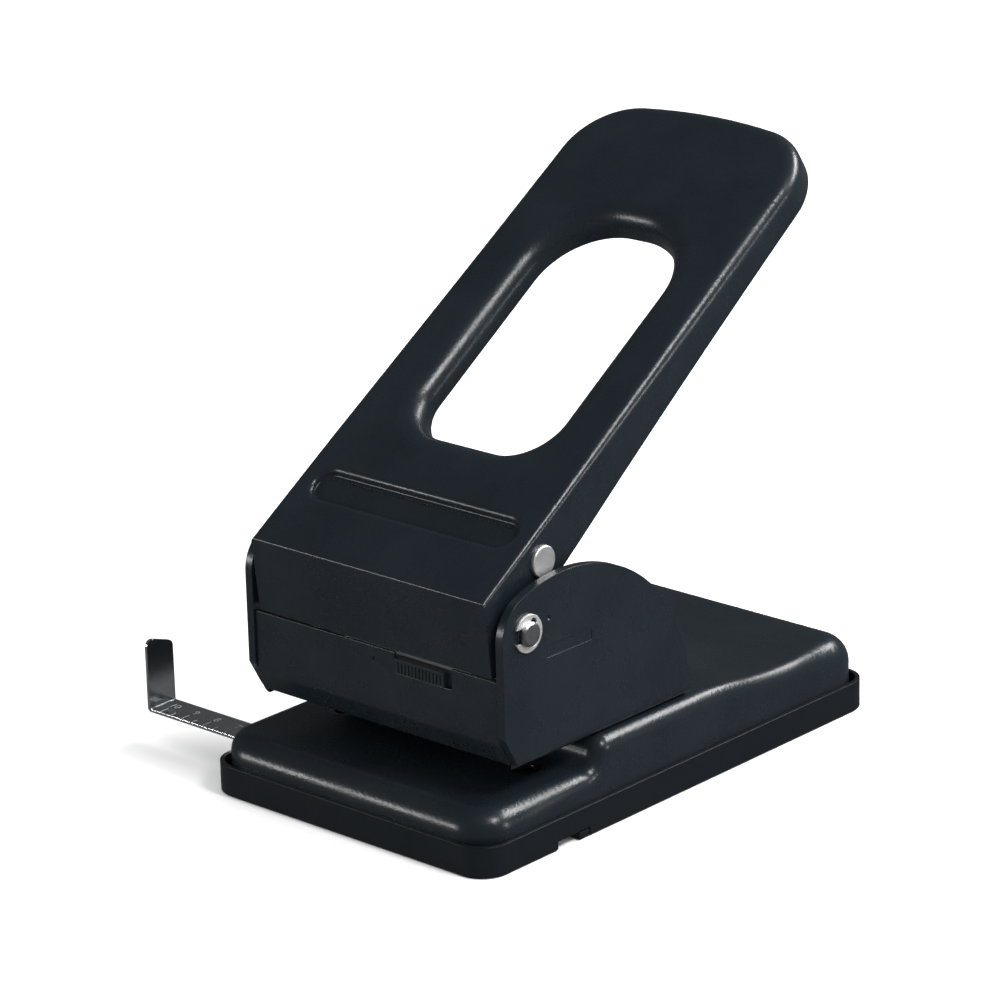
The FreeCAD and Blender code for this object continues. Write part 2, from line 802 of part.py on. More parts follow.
def on_lever(y, z):
    angle = math.radians(open_angle)
    dy = y - lip_top_y
    dz = z - lip_top_z
    return (dy * math.cos(angle) + dz * math.sin(angle), dz * math.cos(angle) - dy * math.sin(angle))


def lever_plan(inset, z_low, z_high):
    """Plan of the lever: parallel ears, a slight taper and a round tip."""
    half = lever_half - inset
    tip_half = lever_tip_width / 2 - inset
    corner = lever_corner - inset
    length = lever_length - inset
    front = on_lever(lip_top_y, lip_bottom_z)[0] - 30

    def at(x, y):
        return point(x, y, z_low)

    taper = math.atan2(lever_half - lever_tip_width / 2, lever_length - lever_corner - lever_taper_start)
    centre_y = length - corner
    centre_x = tip_half - corner
    side_x = centre_x + corner * math.cos(taper)
    side_y = centre_y + corner * math.sin(taper)
    lean = math.atan2(2 * lever_tip_bulge, centre_x)
    turn = (taper + math.pi / 2 - lean) / 2
    end_x = centre_x + corner * math.sin(lean)
    end_y = centre_y + corner * math.cos(lean)
    crest = end_y + end_x * math.tan(lean / 2)
    edges = []
    for side in (1, -1):
        edges += [
            Part.makeLine(at(side * half, front), at(side * half, lever_taper_start)),
            Part.makeLine(at(side * half, lever_taper_start), at(side * side_x, side_y)),
            Part.Arc(at(side * side_x, side_y),
                     at(side * (centre_x + corner * math.cos(turn)), centre_y + corner * math.sin(turn)),
                     at(side * end_x, end_y)).toShape(),
        ]
    edges.append(Part.Arc(at(end_x, end_y), at(0, crest), at(-end_x, end_y)).toShape())
    edges.append(Part.makeLine(at(half, front), at(-half, front)))
    wire = Part.Wire(Part.__sortEdges__(edges))
    return Part.Face(wire).extrude(point(0, 0, z_high - z_low))


def opening_plan(grow, z_low, z_high):
    """Oval opening, larger by grow all round."""
    half = opening_width / 2 + grow
    low = opening_start - grow
    high = opening_end + grow
    corners = [(-half, low, opening_low_corner + grow), (half, low, opening_low_corner + grow),
               (half, high, opening_high_corner + grow), (-half, high, opening_high_corner + grow)]
    return plate_z(corners, z_low, z_high)


def bead_plan(grow, z_low, z_high):
    half = bead_length / 2 + grow
    wide = bead_width / 2 + grow
    corners = rectangle(half, bead_middle - wide, bead_middle + wide, wide - 0.05)
    return plate_z(corners, z_low, z_high)


def hook_place():
    """Where the bolt's hole lies in the flange while the lever is open."""
    dy = lock_pin_y - pivot_y
    dz = lock_pin_z - pivot_z
    angle = math.atan2(dz, dy) + math.radians(press_angle)
    arm = math.hypot(dy, dz)
    return pivot_y + arm * math.cos(angle), pivot_z + arm * math.sin(angle)


def lever_side():
    """Side outline of the lever's flanges, hook and lip included, as a block across the lever."""
    hook_y, hook_z = hook_place()
    lip = on_lever(lip_top_y + lip_lean, lip_bottom_z)
    neck = on_lever(hook_y - hook_radius, lip_bottom_z)
    left = on_lever(hook_y - hook_radius, hook_z)
    low = on_lever(hook_y, hook_z - hook_radius)
    right = on_lever(hook_y + hook_radius, hook_z)

    def at(y, z):
        return point(-base_width, y, z)

    front = at(flange_front_at, -flange_front_depth)
    middle = at(flange_middle_at, -flange_middle_depth)
    back = at(flange_back_at, -flange_back_depth)
    tip = at(lever_length + 5, -tip_depth)
    edges = [
        Part.makeLine(at(0, 0), at(lever_length + 5, 0)),
        Part.makeLine(at(lever_length + 5, 0), tip),
        Part.makeLine(tip, back),
        Part.Arc(back, middle, front).toShape(),
        Part.makeLine(front, at(*right)),
        Part.Arc(at(*right), at(*low), at(*left)).toShape(),
        Part.makeLine(at(*left), at(*neck)),
        Part.makeLine(at(*neck), at(*lip)),
        Part.makeLine(at(*lip), at(0, 0)),
    ]
    return Part.Face(Part.Wire(edges)).extrude(point(2 * base_width, 0, 0))


def lever_room():
    """Space inside the lever's channel, with rounded edges that follow its outside."""
    lip = on_lever(lip_top_y + lip_lean, lip_bottom_z)
    slope = math.atan2(-lip[1], -lip[0])
    sheet = lever_sheet
    lip_reach = sheet / math.sin(slope)
    far = 4.0
    corners = [(lip_reach - sheet / math.tan(slope), -sheet),
               (lever_length + 5, -sheet),
               (lever_length + 5, -90),
               (lip[0] * far + lip_reach, lip[1] * far)]
    return plate_x(corners, -base_width, base_width).common(lever_plan(sheet, -100, 0))


def make_lever():
    far = 100
    outer = lever_side().common(lever_plan(0, -far, 1)).removeSplitter()
    outer = vary_fillet(outer, lambda edge: lever_radii(edge, 0))
    room = vary_fillet(lever_room(), lambda edge: lever_radii(edge, lever_sheet))
    opening = opening_plan(0, -far, 2)
    collar = opening_plan(lever_sheet, -collar_depth, 0)
    outer = outer.fuse(collar.common(opening_plan(lever_sheet, -collar_depth, -lever_sheet)))
    outer = outer.cut(opening).removeSplitter()
    mouth = [e for e in outer.Edges if mouth_edge(e, 0)]
    outer = outer.makeFillet(opening_round, mouth)
    room = room.cut(opening_plan(lever_sheet, -collar_depth, 0))
    ceiling = [e for e in room.Edges if mouth_edge(e, -lever_sheet)]
    room = room.makeFillet(opening_round - lever_sheet, ceiling)
    room = room.cut(bead_plan(lever_sheet, -bead_depth - lever_sheet, 0))
    outer = outer.cut(bead_plan(0, -bead_depth, 1))
    outer = outer.makeFillet(bead_lip_round, [e for e in outer.Edges if bead_edge(e, 0)])
    outer = outer.makeFillet(bead_floor_round, [e for e in outer.Edges if bead_edge(e, -bead_depth)])
    lever = outer.cut(room)
    lever.rotate(point(0, 0, 0), point(1, 0, 0), open_angle)
    lever.translate(point(0, lip_top_y, lip_top_z))
    lever = lever.cut(rod_x(axle_radius + running_gap, -head_width, head_width, pivot_y, pivot_z))
    lever = lever.cut(rod_x(bar_neck_radius, -head_width, head_width, bar_y, bar_z))
    hook_y, hook_z = hook_place()
    lever = lever.cut(rod_x(lock_pin_radius + lock_gap, 0, head_width, hook_y, hook_z))
    return lever


def lever_radii(edge, inset):
    """Rounding of the lever's top edges, growing from the front to the tip."""
    room = edge.BoundBox
    if room.ZMin < -inset - 0.01:
        return None
    if room.YMax < inset + 2:
        return None if inset else (lip_round, lip_round)
    radii = []
    for corner in (edge.firstVertex(), edge.lastVertex()):
        radius = blend_between(corner.Point.y, 0, round_reach, front_round, lever_round)
        radii.append(max(radius - inset, least_round))
    return radii


def mouth_edge(edge, height):
    """True for an edge around the oval opening at this height in the lever's frame."""
    room = edge.BoundBox
    level = abs(room.ZMax - height) < 0.01 and abs(room.ZMin - height) < 0.01
    inside = max(abs(room.XMax), abs(room.XMin)) < opening_width / 2 + lever_sheet + 0.1
    along = room.YMin > opening_start - lever_sheet - 0.1 and room.YMax < opening_end + lever_sheet + 0.1
    return level and inside and along


def bead_edge(edge, height):
    """True for an edge of the pressed bead at this height in the lever's frame."""
    room = edge.BoundBox
    level = abs(room.ZMax - height) < 0.01 and abs(room.ZMin - height) < 0.01
    reach = bead_width / 2 + 0.1
    along = room.YMin > bead_middle - reach and room.YMax < bead_middle + reach
    return level and along and max(abs(room.XMin), abs(room.XMax)) < bead_length / 2 + 0.1


def make_press_bar():
    inner = lever_half - lever_sheet
    bar = rod_x(bar_radius, -inner, inner, bar_y, bar_z)
    neck = rod_x(bar_neck_radius, -lever_half, lever_half, bar_y, bar_z)
    head = rod_x(bar_radius, lever_half, lever_half + bar_head, bar_y, bar_z)
    head = head.makeFillet(0.5, [e for e in head.Edges if e.BoundBox.XMin > lever_half + bar_head - 0.01])
    return bar.fuse([neck, both(head)]).removeSplitter()


# Pivot

def clip_x():
    return cheek_out + 0.1


def make_axle():
    end = clip_x() + clip_sheet + axle_end
    axle = rod_x(axle_radius, -end, end, pivot_y, pivot_z)
    axle = axle.makeChamfer(0.6, [e for e in axle.Edges if e.BoundBox.XMax - e.BoundBox.XMin < 0.01])
    groove = rod_x(axle_radius + 1, clip_x(), clip_x() + clip_sheet, pivot_y, pivot_z)
    groove = groove.cut(rod_x(axle_radius - clip_groove, 0, head_width, pivot_y, pivot_z))
    return axle.cut(both(groove))


def make_clip(side):
    low = clip_x()
    high = clip_x() + clip_sheet
    grip = axle_radius - clip_groove
    clip = rod_x(clip_radius, low, high, pivot_y, pivot_z)
    clip = clip.cut(rod_x(grip, low - 1, high + 1, pivot_y, pivot_z))
    mouth = box(low - 1, high + 1, pivot_y - 2 * clip_radius, pivot_y, pivot_z - 2.4, pivot_z + 2.4)
    clip = clip.cut(mouth)
    for turn in (55, -55):
        angle = math.radians(turn)
        y = pivot_y + (grip + 0.8) * math.cos(angle)
        z = pivot_z + (grip + 0.8) * math.sin(angle)
        clip = clip.cut(rod_x(1.5, low - 1, high + 1, y, z))
    if side < 0:
        clip = clip.mirror(point(0, 0, 0), point(1, 0, 0))
    return clip


def make_washer(side):
    low = lever_half + washer_gap
    washer = rod_x(washer_radius, low, cheek_in, pivot_y, pivot_z)
    washer = washer.cut(rod_x(axle_radius + running_gap, 0, head_width, pivot_y, pivot_z))
    if side < 0:
        washer = washer.mirror(point(0, 0, 0), point(1, 0, 0))
    return washer


# Paper guide

def make_ruler():
    low = ruler_height
    high = low + ruler_sheet
    strip = box(-half_paper - ruler_sheet, ruler_inside, ruler_y, ruler_y + ruler_width, low, high)
    top = low + stop_height
    corners = [(ruler_y, low), (ruler_y, top, stop_corner),
               (ruler_y + ruler_width, top - stop_slant, stop_corner), (ruler_y + ruler_width, low)]
    stop = plate_x(corners, -half_paper - ruler_sheet, -half_paper)
    ruler = strip.fuse(stop).removeSplitter()
    bend = [e for e in ruler.Edges if abs(e.BoundBox.XMax + half_paper + ruler_sheet) < 0.01
            and e.BoundBox.ZMax < low + 0.01 and e.BoundBox.YMax - e.BoundBox.YMin > 1]
    ruler = ruler.makeFillet(1.4, bend)
    for x in (-half_paper + 66, -half_paper + 86, -half_paper + 101):
        ruler = ruler.cut(rod_z(1.2, low - 1, high + 1, x, ruler_y + ruler_width / 2))
    return ruler


def make_track(inner):
    left = -shell_half + side_shoulder + slide_gap
    front = ruler_y - track_side
    back = ruler_y + ruler_width + track_side
    track = box(left, track_right, front, back, track_low(), table_height - shell_sheet)
    slot = box(left - 1, track_right + 1, ruler_y - slide_gap, ruler_y + ruler_width + slide_gap,
               ruler_height - slide_gap, ruler_height + ruler_sheet + slide_gap)
    middle = ruler_y + ruler_width / 2
    half = detent_half + detent_room
    side = detent_width / 2 + detent_room
    above = ruler_height + ruler_sheet + slide_gap
    window = box(detent_middle - half, detent_middle + half, middle - side, middle + side,
                 ruler_height, table_height)
    for edge in (detent_middle - half, detent_middle + half - detent_ledge):
        ledge = box(edge, edge + detent_ledge, middle - side, middle + side, above, detent_low())
        window = window.cut(ledge)
    return track.common(inner).cut(slot).cut(window).removeSplitter()


def detent_low():
    return ruler_height + ruler_sheet + detent_rise


def make_detent():
    front = ruler_y + ruler_width / 2 - detent_width / 2
    low = detent_low()
    dip = ruler_height + ruler_sheet + detent_touch

    def spot(x, z):
        return point(detent_middle + x, front, z)

    high = low + detent_sheet
    wire = Part.Wire([
        Part.makeLine(spot(-detent_half, low), spot(-detent_bow, low)),
        Part.Arc(spot(-detent_bow, low), spot(0, dip), spot(detent_bow, low)).toShape(),
        Part.makeLine(spot(detent_bow, low), spot(detent_half, low)),
        Part.makeLine(spot(detent_half, low), spot(detent_half, high)),
        Part.makeLine(spot(detent_half, high), spot(detent_bow, high)),
        Part.Arc(spot(detent_bow, high), spot(0, dip + detent_sheet), spot(-detent_bow, high)).toShape(),
        Part.makeLine(spot(-detent_bow, high), spot(-detent_half, high)),
        Part.makeLine(spot(-detent_half, high), spot(-detent_half, low)),
    ])
    return Part.Face(wire).extrude(point(0, detent_width, 0))


def main():
    os.makedirs("parts", exist_ok=True)
    outer = shell_form(0)
    inner = shell_form(shell_sheet)
    save("base_shell", make_shell(outer, inner))
    save("base_tray", make_tray())
    save("shell_posts", make_posts(inner))
    save("tray_screws", make_screws())
    save("rubber_feet", make_feet())
    save("chip_flap", make_flap())
    save("flap_hinge_pin", make_hinge_pin())
    save("die_plate", make_die_plate())
    save("chassis", make_chassis())
    save("chassis_rivets", make_rivets())
    save("front_cover", make_cover())
    save("lock_slide", make_lock_slide())
    save("lock_rail", make_lock_rail())
    save("guide_bridge", make_bridge())
    save("lever", make_lever())
    save("press_bar", make_press_bar())
    save("pivot_axle", make_axle())
    save("ruler", make_ruler())
    save("ruler_track", make_track(inner))
    save("ruler_detent", make_detent())
    for side, name in sides:
        x = side * hole_spacing / 2
        save("die_" + name, make_die(x))
        save("bushing_" + name, make_bushing(x))
        save("punch_" + name, make_punch(x))
        save("punch_cap_" + name, make_cap(x))
        save("punch_spring_" + name, make_spring(x))
        save("pivot_clip_" + name, make_clip(side))
        save("pivot_washer_" + name, make_washer(side))


main()
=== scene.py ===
# Heavy-duty hole punch: finishes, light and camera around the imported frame. Only the ruler's marks
# and the dots along the lever's bead are modelled here; everything else is the frame's.
# All places are in metres, +Z up, the front of the punch towards -Y.
import json
import math
import bpy
from mathutils import Matrix, Vector


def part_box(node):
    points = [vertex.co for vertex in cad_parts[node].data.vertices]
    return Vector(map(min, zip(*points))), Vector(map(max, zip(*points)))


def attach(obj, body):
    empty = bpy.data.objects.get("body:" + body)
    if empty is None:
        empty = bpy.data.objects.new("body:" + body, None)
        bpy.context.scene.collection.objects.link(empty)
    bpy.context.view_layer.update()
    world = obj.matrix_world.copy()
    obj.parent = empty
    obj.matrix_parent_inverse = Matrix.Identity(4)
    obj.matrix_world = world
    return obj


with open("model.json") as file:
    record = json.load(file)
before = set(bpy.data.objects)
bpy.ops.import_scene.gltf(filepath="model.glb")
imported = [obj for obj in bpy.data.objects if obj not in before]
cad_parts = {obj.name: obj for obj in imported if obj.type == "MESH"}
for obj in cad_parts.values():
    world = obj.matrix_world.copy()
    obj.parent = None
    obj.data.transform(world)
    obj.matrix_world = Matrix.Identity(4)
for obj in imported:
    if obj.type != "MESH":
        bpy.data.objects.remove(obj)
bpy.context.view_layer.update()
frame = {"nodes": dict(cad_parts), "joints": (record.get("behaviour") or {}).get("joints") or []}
nodes = frame["nodes"]
print("frame loaded:", len(nodes), "nodes")


def clearSelection():
    if bpy.context.object and bpy.context.object.mode != "OBJECT":
        bpy.ops.object.mode_set(mode="OBJECT")
    bpy.ops.object.select_all(action="DESELECT")


def pick(piece):
    clearSelection()
    piece.select_set(True)
    bpy.context.view_layer.objects.active = piece
    return piece


def named(name):
    piece = bpy.context.object
    piece.name = name
    piece.data.name = name
    return piece


def settle(piece):
    pick(piece)
    bpy.ops.object.transform_apply(location=True, rotation=True, scale=True)  # its place goes into its mesh
    return piece


def applyAll(piece):
    pick(piece)
    for modifier in list(piece.modifiers):
        bpy.ops.object.modifier_apply(modifier=modifier.name)
    return piece


def paint(piece, material):
    piece.data.materials.clear()
    piece.data.materials.append(material)
    return piece


def startMaterial(name):
    material = bpy.data.materials.new(name)
    material.use_nodes = True
    tree = material.node_tree
    return material, tree, tree.nodes["Principled BSDF"]


def addNode(tree, kind, **settings):
    node = tree.nodes.new(kind)
    for key, value in settings.items():
        if hasattr(node, key):
            setattr(node, key, value)
        else:
            node.inputs[key.replace("_", " ")].default_value = value
    return node


def noiseOf(tree, scale, detail=2.0, rough=0.5, stretch=None):
    place = addNode(tree, "ShaderNodeTexCoord")
    noise = addNode(tree, "ShaderNodeTexNoise", Scale=scale, Detail=detail, Roughness=rough)
    if stretch:
        mapping = addNode(tree, "ShaderNodeMapping")
        mapping.inputs["Scale"].default_value = stretch
        tree.links.new(place.outputs["Object"], mapping.inputs["Vector"])
        tree.links.new(mapping.outputs["Vector"], noise.inputs["Vector"])
    else:
        tree.links.new(place.outputs["Object"], noise.inputs["Vector"])
    return noise.outputs["Fac"]


def rangeOf(tree, value, low, high, outLow, outHigh):
    spread = addNode(tree, "ShaderNodeMapRange")
    spread.inputs["From Min"].default_value = low
    spread.inputs["From Max"].default_value = high
    spread.inputs["To Min"].default_value = outLow
    spread.inputs["To Max"].default_value = outHigh
    tree.links.new(value, spread.inputs["Value"])
    return spread.outputs["Result"]


def mixColours(tree, share, first, second):
    mix = addNode(tree, "ShaderNodeMix", data_type="RGBA")
    tree.links.new(share, mix.inputs["Factor"])
    for socket, colour in ((mix.inputs["A"], first), (mix.inputs["B"], second)):
        if isinstance(colour, (tuple, list)):
            socket.default_value = (*colour, 1.0)
        else:
            tree.links.new(colour, socket)
    return mix.outputs["Result"]


def softEdges(tree, radius):
    bevel = addNode(tree, "ShaderNodeBevel", samples=8)
    bevel.inputs["Radius"].default_value = radius
    return bevel.outputs["Normal"]


def bumpOf(tree, height, strength, distance, normal=None):
    bump = addNode(tree, "ShaderNodeBump")
    bump.inputs["Strength"].default_value = strength
    bump.inputs["Distance"].default_value = distance
    tree.links.new(height, bump.inputs["Height"])
    if normal:
        tree.links.new(normal, bump.inputs["Normal"])
    return bump.outputs["Normal"]


enamelLook = {"dark": (0.0058, 0.0090, 0.0120), "light": (0.0078, 0.0114, 0.0148), "cloudSize": 32.0,
              "smearSize": 70.0, "roughLow": 0.24, "roughHigh": 0.33, "shine": 0.28,
              "peelSize": 900.0, "peelDepth": 0.00016, "peelBump": 0.35, "edge": 0.00040}
mouldedLook = {"dark": (0.0036, 0.0053, 0.0072), "light": (0.0048, 0.0068, 0.0090), "cloudSize": 45.0,
               "smearSize": 90.0, "roughLow": 0.32, "roughHigh": 0.42, "shine": 0.20,
               "grainSize": 2600.0, "grainDepth": 0.00005, "grainBump": 0.3, "edge": 0.0004}
slideLook = dict(mouldedLook, dark=(0.0080, 0.0108, 0.0136), light=(0.0104, 0.0136, 0.0168),
                 roughLow=0.30, roughHigh=0.40, edge=0.0002)
rubberLook = {"dark": (0.018, 0.018, 0.018), "light": (0.035, 0.034, 0.033), "cloudSize": 300.0,
              "smearSize": 500.0, "roughLow": 0.65, "roughHigh": 0.85,
              "grainSize": 3000.0, "grainDepth": 0.00005, "grainBump": 0.4}
# what every metal shares; grain stretches the scratches, a small number draws them out along that axis
metalBase = {"tarnishSize": 120.0, "grain": (1.0, 1.0, 1.0), "grainSize": 900.0, "grainDepth": 0.00002,
             "grainBump": 0.35, "edge": 0.00025}
metalLooks = {
    "barSteel": {"bright": (0.94, 0.95, 0.94), "dull": (0.78, 0.79, 0.79),
                 "roughLow": 0.38, "roughHigh": 0.52},
    "axleSteel": {"bright": (0.40, 0.41, 0.42), "dull": (0.22, 0.22, 0.23),
                  "roughLow": 0.30, "roughHigh": 0.44},
    "clipSteel": {"bright": (0.98, 0.98, 0.97), "dull": (0.92, 0.92, 0.92),
                  "roughLow": 0.46, "roughHigh": 0.58},
    "rulerNickel": {"bright": (0.74, 0.77, 0.79), "dull": (0.60, 0.63, 0.65),
                    "roughLow": 0.12, "roughHigh": 0.22,
                    "grain": (0.05, 1.0, 1.0), "grainSize": 2400.0, "grainDepth": 0.00001},
    "plainSteel": {"bright": (0.50, 0.50, 0.50), "dull": (0.32, 0.31, 0.30),
                   "roughLow": 0.30, "roughHigh": 0.45},
    "zincPlate": {"bright": (0.62, 0.63, 0.65), "dull": (0.45, 0.46, 0.48),
                  "roughLow": 0.28, "roughHigh": 0.42},
    "springWire": {"bright": (0.42, 0.42, 0.43), "dull": (0.25, 0.25, 0.26),
                   "roughLow": 0.28, "roughHigh": 0.40},
    "groundSteel": {"bright": (0.66, 0.66, 0.67), "dull": (0.48, 0.48, 0.48),
                    "roughLow": 0.16, "roughHigh": 0.28,
                    "grain": (1.0, 1.0, 0.1), "grainSize": 1800.0},
    "turnedBrass": {"bright": (0.72, 0.53, 0.24), "dull": (0.50, 0.34, 0.14),
                    "roughLow": 0.22, "roughHigh": 0.36},
    "dieSteel": {"bright": (0.13, 0.13, 0.14), "dull": (0.07, 0.07, 0.075),
                 "roughLow": 0.22, "roughHigh": 0.34},
}
markLook = {**metalBase, "bright": (0.80, 0.82, 0.84), "dull": (0.60, 0.62, 0.64),
            "roughLow": 0.55, "roughHigh": 0.75}


def stovedEnamel(name, look, peel=1.0):
    material, tree, shader = startMaterial(name)
    link = tree.links.new
    rounded = softEdges(tree, look["edge"])
    cloud = rangeOf(tree, noiseOf(tree, look["cloudSize"], 4.0, 0.6), 0.35, 0.65, 0.0, 1.0)
    link(mixColours(tree, cloud, look["dark"], look["light"]), shader.inputs["Base Color"])
    smears = noiseOf(tree, look["smearSize"], 5.0, 0.65)
    link(rangeOf(tree, smears, 0.3, 0.7, look["roughLow"], look["roughHigh"]), shader.inputs["Roughness"])
    skin = noiseOf(tree, look["peelSize"], 1.5, 0.4)
    link(bumpOf(tree, skin, look["peelBump"] * peel, look["peelDepth"], rounded), shader.inputs["Normal"])
    shader.inputs["Specular IOR Level"].default_value = look["shine"]
    return material


def mouldedPlastic(name, look):
    material, tree, shader = startMaterial(name)
    link = tree.links.new
    rounded = softEdges(tree, look["edge"])
    cloud = noiseOf(tree, look["cloudSize"], 3.0, 0.6)
    link(mixColours(tree, cloud, look["dark"], look["light"]), shader.inputs["Base Color"])
    smears = noiseOf(tree, look["smearSize"], 4.0, 0.6)
    link(rangeOf(tree, smears, 0.3, 0.7, look["roughLow"], look["roughHigh"]), shader.inputs["Roughness"])
    grain = noiseOf(tree, look["grainSize"], 2.0, 0.5)
    link(bumpOf(tree, grain, look["grainBump"], look["grainDepth"], rounded), shader.inputs["Normal"])
    shader.inputs["Specular IOR Level"].default_value = look["shine"]
    return material


def turnedMetal(name, look):
    material, tree, shader = startMaterial(name)
    link = tree.links.new
    rounded = softEdges(tree, look["edge"])
    streak = noiseOf(tree, look["grainSize"], 3.0, 0.6, look["grain"])
    tarnish = rangeOf(tree, noiseOf(tree, look["tarnishSize"], 5.0, 0.65), 0.35, 0.8, 0.0, 1.0)
    link(mixColours(tree, tarnish, look["bright"], look["dull"]), shader.inputs["Base Color"])
    link(rangeOf(tree, streak, 0.25, 0.75, look["roughLow"], look["roughHigh"]), shader.inputs["Roughness"])
    link(bumpOf(tree, streak, look["grainBump"], look["grainDepth"], rounded), shader.inputs["Normal"])
    shader.inputs["Metallic"].default_value = 1.0
    return material


def footRubber(name, look):
    material, tree, shader = startMaterial(name)
    link = tree.links.new
    cloud = noiseOf(tree, look["cloudSize"], 4.0, 0.6)
    link(mixColours(tree, cloud, look["dark"], look["light"]), shader.inputs["Base Color"])
    smears = noiseOf(tree, look["smearSize"], 3.0, 0.5)
    link(rangeOf(tree, smears, 0.3, 0.7, look["roughLow"], look["roughHigh"]), shader.inputs["Roughness"])
    grain = noiseOf(tree, look["grainSize"], 2.0, 0.5)
    link(bumpOf(tree, grain, look["grainBump"], look["grainDepth"]), shader.inputs["Normal"])
    return material


shellPaint = stovedEnamel("shellPaint", enamelLook, 1.2)
leverPaint = stovedEnamel("leverPaint", enamelLook)
headPaint = stovedEnamel("headPaint", enamelLook)
trayPlastic = mouldedPlastic("trayPlastic", mouldedLook)
darkNylon = mouldedPlastic("darkNylon", mouldedLook)
slideNylon = mouldedPlastic("slideNylon", slideLook)
metal = {name: turnedMetal(name, {**metalBase, **look}) for name, look in metalLooks.items()}
padRubber = footRubber("padRubber", rubberLook)
scaleMark = turnedMetal("scaleMark", markLook)
print("finishes ready")

nodeFinish = {
    "base_shell": shellPaint, "base_tray": trayPlastic, "shell_posts": metal["plainSteel"],
    "tray_screws": metal["zincPlate"], "rubber_feet": padRubber, "chip_flap": trayPlastic,
    "flap_hinge_pin": metal["plainSteel"], "die_plate": metal["plainSteel"], "chassis": headPaint,
    "chassis_rivets": metal["zincPlate"], "front_cover": headPaint, "lock_slide": slideNylon,
    "lock_rail": metal["plainSteel"], "guide_bridge": metal["zincPlate"], "lever": leverPaint,
    "press_bar": metal["barSteel"], "pivot_axle": metal["axleSteel"], "ruler": metal["rulerNickel"],
    "ruler_track": darkNylon, "ruler_detent": metal["springWire"],
}
for side in ("left", "right"):
    nodeFinish["die_" + side] = metal["dieSteel"]
    nodeFinish["bushing_" + side] = metal["turnedBrass"]
    nodeFinish["punch_" + side] = metal["groundSteel"]
    nodeFinish["punch_cap_" + side] = metal["zincPlate"]
    nodeFinish["punch_spring_" + side] = metal["springWire"]
    nodeFinish["pivot_clip_" + side] = metal["clipSteel"]
    nodeFinish["pivot_washer_" + side] = darkNylon
for name, finish in nodeFinish.items():
    paint(nodes[name], finish)
clearSelection()


scaleLook = {"pitch": 0.005, "count": 20, "shortTick": 0.0022, "longTick": 0.0038, "tickWidth": 0.00035,
             "height": 0.00004, "bevelShare": 0.3,
             "numberSize": 0.0042, "numberShift": 0.0004, "numberUp": 0.0058,
             "fromStop": 0.0055, "edgeGap": 0.0006, "rulerSheet": 0.001}


def makeTick(x, y, z, length, look):
    bpy.ops.mesh.primitive_cube_add(size=1, location=(x, y + length / 2, z),
                                    scale=(look["tickWidth"], length, look["height"]))
    tick = settle(bpy.context.object)
    bpy.ops.object.mode_set(mode="EDIT")
    bpy.ops.mesh.select_all(action="SELECT")
    bpy.ops.mesh.bevel(offset=look["height"] * look["bevelShare"], segments=1)
    bpy.ops.object.mode_set(mode="OBJECT")
    return tick


def makeNumber(text, x, y, z, look):
    clearSelection()
    bpy.ops.object.text_add(location=(x, y, z))
    number = bpy.context.object
    number.data.body = text
    number.data.size = look["numberSize"]
    number.data.align_x = "CENTER"
    number.data.extrude = look["height"] / 2
    number.data.resolution_u = 4
    bpy.ops.object.convert(target="MESH")
    return settle(bpy.context.object)


def makeScale(look):
    low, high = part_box("ruler")
    top = low.z + look["rulerSheet"] + look["height"] / 2
    start = low.x + look["fromStop"]
    clearSelection()
    rows = []
    for length, first, step, count in ((look["longTick"], 0.0, 2, look["count"] // 2),
                                       (look["shortTick"], look["pitch"], 2, look["count"] // 2)):
        tick = makeTick(start + first, low.y + look["edgeGap"], top, length, look)
        array = tick.modifiers.new("row", "ARRAY")
        array.count = count
        array.use_relative_offset = False
        array.use_constant_offset = True
        array.constant_offset_displace = (look["pitch"] * step, 0.0, 0.0)
        rows.append(applyAll(tick))
        clearSelection()
    for i in range(look["count"] // 2):
        value = str(look["count"] // 2 - i)
        across = start + 2 * i * look["pitch"] + look["numberShift"]
        rows.append(makeNumber(value, across, low.y + look["numberUp"], top, look))
    clearSelection()
    for row in rows:
        row.select_set(True)
    bpy.context.view_layer.objects.active = rows[0]
    bpy.ops.object.join()
    scale = paint(named("rulerScale"), scaleMark)
    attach(scale, "ruler")


dotLook = {"turn": 33.5, "frontEdge": (0.0, -0.0135, 0.012), "along": 0.03085, "depth": 0.00245,
           "halfLength": 0.0385, "pitch": 0.00132, "radius": 0.00042, "stretch": (1.25, 1.0, 0.8)}


def leverPoint(across, along, out, look):
    # a place on the lever: along its top from the front edge, and out of its top
    hinge = next(joint for joint in frame["joints"] if joint["name"] == "lever_hinge")
    turn = math.radians(look["turn"])
    start = Vector(hinge["pos_m"]) + Vector(look["frontEdge"])
    return start + Vector((across, along * math.cos(turn) - out * math.sin(turn),
                           along * math.sin(turn) + out * math.cos(turn)))


def makeDots(look):
    count = int(2 * look["halfLength"] / look["pitch"]) + 1
    place = leverPoint(-look["halfLength"], look["along"], -look["depth"], look)
    clearSelection()
    bpy.ops.mesh.primitive_ico_sphere_add(subdivisions=1, radius=look["radius"], location=place)
    dots = named("beadDots")
    dots.scale = look["stretch"]
    settle(dots)
    array = dots.modifiers.new("row", "ARRAY")
    array.count = count
    array.use_relative_offset = False
    array.use_constant_offset = True
    array.constant_offset_displace = (look["pitch"], 0.0, 0.0)
    applyAll(dots)
    bpy.ops.object.shade_smooth()
    paint(dots, leverPaint)
    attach(dots, "lever")


makeScale(scaleLook)
makeDots(dotLook)
print("scale and dots ready")


studio = {"floorSize": 8.0, "floorColour": (0.86, 0.86, 0.86), "floorRough": 0.9}


